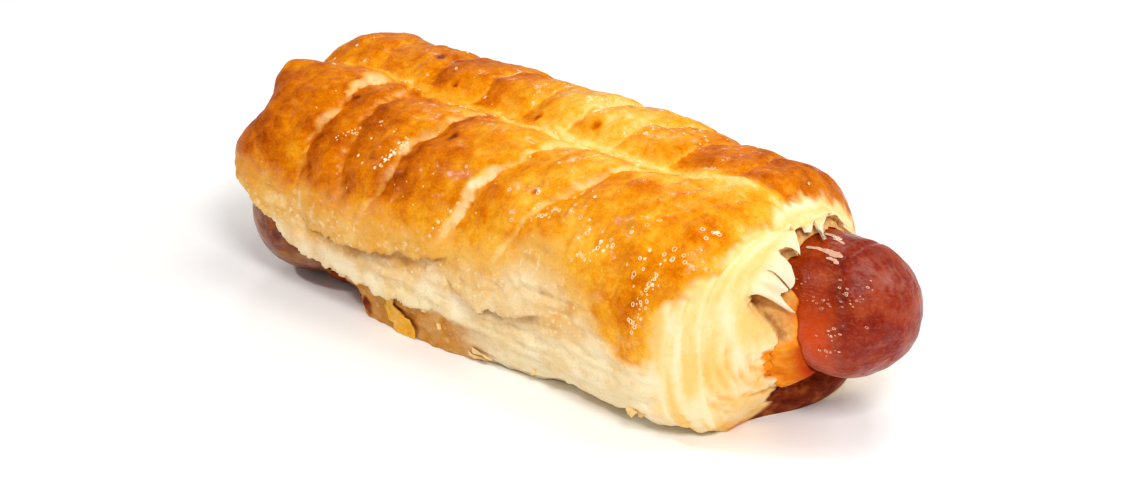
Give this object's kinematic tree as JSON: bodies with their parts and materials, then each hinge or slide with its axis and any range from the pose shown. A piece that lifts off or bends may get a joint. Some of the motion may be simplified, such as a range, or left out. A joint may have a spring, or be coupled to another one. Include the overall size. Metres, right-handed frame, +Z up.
{
  "type": "sausage roll",
  "caption": "Frankfurter baked in a wrap of glazed puff pastry, with a scored crust, open pale layers at the side and ends, and the sausage sticking out at one end.",
  "frame": {"origin": "middle of the pastry's flat base", "axes": "+X along the roll towards the end where the sausage sticks out, +Z up, -Y the side with the open layers"},
  "size_m": [0.1524, 0.0605, 0.0436],
  "materials": {
    "crust": "satin",
    "sausage_skin": "gloss"
  },
  "bodies": {
    "root": {"pastry": "crust", "sausage": "sausage_skin"}
  },
  "joints": []
}
